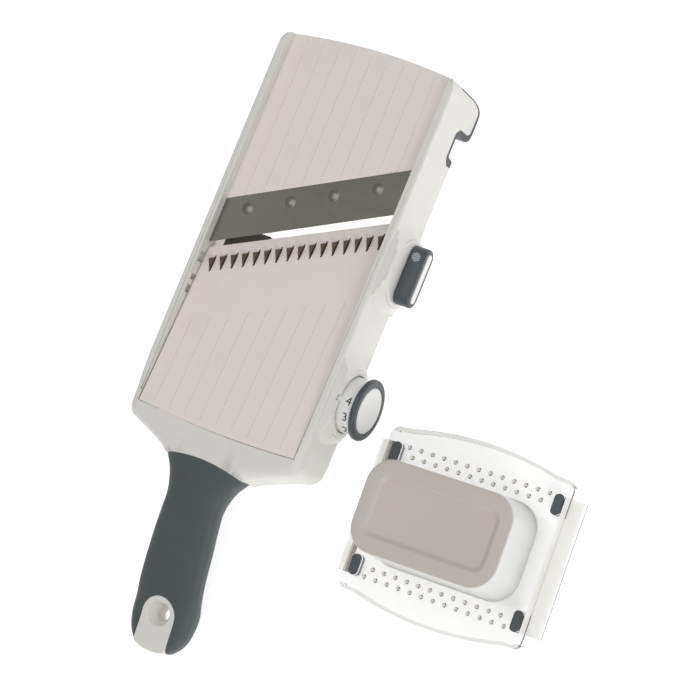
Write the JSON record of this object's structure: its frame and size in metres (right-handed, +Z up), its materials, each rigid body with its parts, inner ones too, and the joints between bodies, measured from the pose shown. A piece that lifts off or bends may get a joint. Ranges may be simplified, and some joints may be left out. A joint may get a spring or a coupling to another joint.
{
  "type": "mandoline slicer",
  "caption": "Hand-held adjustable mandoline slicer with a skewed steel blade, tilting runway, lowering julienne fins, soft handle, and a clear food guard lying beside it",
  "frame": {"origin": "where the axis of the hang hole in the handle's end meets the table the slicer lies on", "axes": "+Y along the slicer from the handle to the far end, +X towards the side with the dials, +Z up"},
  "size_m": [0.2621, 0.3526, 0.047],
  "materials": {
    "body_plastic": "ivory moulded plastic, satin",
    "runway_plastic": "warm ivory moulded plastic, satin",
    "bright_plastic": "white moulded plastic, satin",
    "cap_plastic": "ivory moulded plastic, fine matt texture",
    "dark_plastic": "charcoal moulded plastic, satin",
    "grip_rubber": "charcoal soft-touch rubber, matt",
    "blade_steel": "satin ground stainless steel",
    "fin_steel": "plain stainless steel",
    "fastener_steel": "turned stainless steel",
    "clear_plastic": "clear polished plastic"
  },
  "bodies": {
    "slicer": {"frame": "body_plastic", "upper_runway": "runway_plastic", "runway_screws": "fastener_steel", "slicing_blade": "blade_steel", "blade_rivets": "fastener_steel", "runway_hinge_pins": "fastener_steel", "julienne_bush": "fastener_steel", "dial_bushes": "fastener_steel", "detent_spring": "fastener_steel", "handle_grip": "grip_rubber", "foot_pad_left": "grip_rubber", "foot_pad_right": "grip_rubber"},
    "tilting_runway": {"lower_runway": "runway_plastic"},
    "julienne_lift": {"julienne_carrier": "dark_plastic", "julienne_blades": "fin_steel"},
    "julienne_dial": {"julienne_knob": "dark_plastic", "julienne_knob_insert": "bright_plastic", "knob_screw": "fastener_steel", "julienne_shaft": "bright_plastic", "julienne_crank": "fastener_steel"},
    "thickness_dial": {"dial_drum": "bright_plastic", "dial_rim": "dark_plastic", "dial_face": "bright_plastic", "dial_screw": "fastener_steel", "dial_shaft": "bright_plastic", "dial_cams": "bright_plastic", "detent_wheel": "dark_plastic"},
    "food_guard": {"guard_plate": "clear_plastic", "guard_cap": "cap_plastic", "guard_feet": "dark_plastic"}
  },
  "joints": [
    {"name": "thickness_dial_turn", "type": "hinge", "parent": "slicer", "child": "thickness_dial", "pos_m": [0.0624, 0.1426, 0.0212], "axis": [1, 0, 0], "range_deg": [-132, 0]},
    {"name": "runway_tilt", "type": "hinge", "parent": "slicer", "child": "tilting_runway", "pos_m": [0, 0.107, 0.0362], "axis": [1, 0, 0], "range_deg": [0, 1.99]},
    {"name": "julienne_knob_turn", "type": "hinge", "parent": "slicer", "child": "julienne_dial", "pos_m": [0.0616, 0.2195, 0.018], "axis": [1, 0, 0], "range_deg": [0, 90]},
    {"name": "julienne_lift_slide", "type": "slide", "parent": "slicer", "child": "julienne_lift", "axis": [0, 0, 1], "range_m": [-0.0085, 0]},
    {"name": "guard_lift", "type": "slide", "parent": "slicer", "child": "food_guard", "axis": [0, 0, 1], "range_m": [0, 0.08]}
  ],
  "couplings": [
    {"joint": "runway_tilt", "follows": "thickness_dial_turn", "ratio": -0.015},
    {"joint": "julienne_lift_slide", "follows": "julienne_knob_turn", "m_per_rad": -0.0053476}
  ]
}
